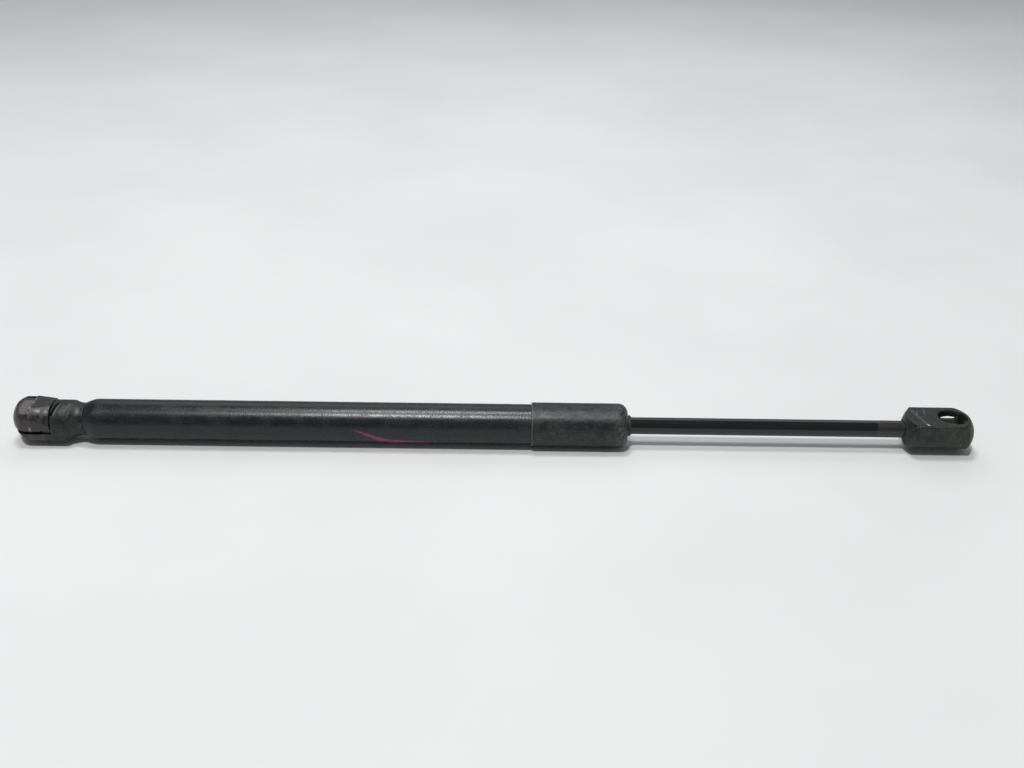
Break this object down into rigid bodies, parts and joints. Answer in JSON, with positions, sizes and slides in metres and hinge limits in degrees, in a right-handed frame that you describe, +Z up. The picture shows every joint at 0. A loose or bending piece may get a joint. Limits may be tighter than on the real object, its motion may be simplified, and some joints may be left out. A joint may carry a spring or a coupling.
{
  "type": "gas strut stay",
  "caption": "Slender gas spring stay: black pressure tube with dust sleeve, sliding rod with damping piston, and a moulded ball socket at each end.",
  "frame": {"origin": "centre of the ball that the tube-end socket takes, on the strut axis", "axes": "+X runs along the strut to the rod end; +Z is up, out of the rod-end socket's mouth and out of the closed back of the tube-end socket; the strut is drawn fully extended"},
  "size_m": [0.4491, 0.0208, 0.0208],
  "materials": {
    "tube_paint": "satin black paint, worn",
    "zinc_steel": "zinc plated",
    "seal_rubber": "nitrile rubber",
    "socket_plastic": "glass-filled black nylon, dusty",
    "clip_steel": "black coated spring steel, worn edges",
    "sleeve_plastic": "satin black moulded sleeve",
    "wiper_rubber": "moulded rubber",
    "guide_steel": "turned steel",
    "bush_bronze": "bronze with low-friction lining",
    "rod_black": "black nitrided and polished steel rod",
    "piston_alloy": "die cast",
    "ring_plastic": "PTFE"
  },
  "bodies": {
    "cylinder": {"pressure_tube": "tube_paint", "end_plug": "zinc_steel", "end_plug_o_ring": "seal_rubber", "tube_end_socket": "socket_plastic", "dust_sleeve": "sleeve_plastic", "rod_wiper": "wiper_rubber", "rod_guide": "guide_steel", "guide_bush": "bush_bronze", "guide_o_ring": "seal_rubber", "rod_seal": "seal_rubber", "seal_washer": "zinc_steel"},
    "ring": {"piston_ring": "ring_plastic"},
    "rod": {"piston_rod": "rod_black", "rod_stop_ring": "zinc_steel", "rebound_buffer": "seal_rubber", "piston_upper_washer": "zinc_steel", "piston": "piston_alloy", "orifice_disc": "zinc_steel", "piston_lower_washer": "zinc_steel", "piston_nut": "zinc_steel", "rod_end_socket": "socket_plastic"},
    "clip": {"tube_socket_clip": "clip_steel"}
  },
  "joints": [
    {"name": "rod_slide", "type": "slide", "parent": "cylinder", "child": "ring", "axis": [1, 0, 0], "range_m": [-0.12, 0], "stiffness_N_per_m": 600, "springref_m": 0.35},
    {"name": "rod_spin", "type": "hinge", "parent": "ring", "child": "rod", "pos_m": [0.24, 0, 0], "axis": [1, 0, 0], "continuous": true},
    {"name": "clip_lift", "type": "slide", "parent": "cylinder", "child": "clip", "axis": [0, 0, 1], "range_m": [0, 0.0015], "stiffness_N_per_m": 2000, "springref_m": -0.001}
  ]
}
